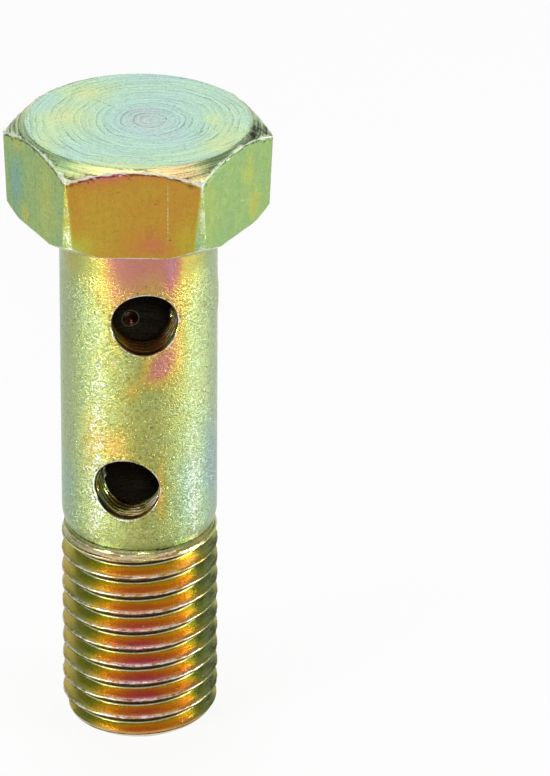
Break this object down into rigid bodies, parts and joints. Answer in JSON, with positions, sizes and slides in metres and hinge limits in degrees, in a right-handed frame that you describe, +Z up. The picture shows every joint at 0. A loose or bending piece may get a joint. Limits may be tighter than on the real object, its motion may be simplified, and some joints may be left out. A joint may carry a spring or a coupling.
{
  "type": "double banjo bolt",
  "caption": "Hollow hexagon-head banjo bolt with cross-drilled oil ports on a plain shank above a fine right-hand thread, zinc plated with a yellow iridescent finish.",
  "frame": {"origin": "middle of the flat threaded end, on the bolt's axis", "axes": "+Z up the bolt from the threaded end to the head; +Y and -Y square to two flats of the hexagon; both ports open towards -Y"},
  "size_m": [0.0196, 0.017, 0.0486],
  "materials": {
    "plated_steel": "bright zinc with yellow iridescent passivation"
  },
  "bodies": {
    "root": {"banjo_bolt": "plated_steel"}
  },
  "joints": []
}
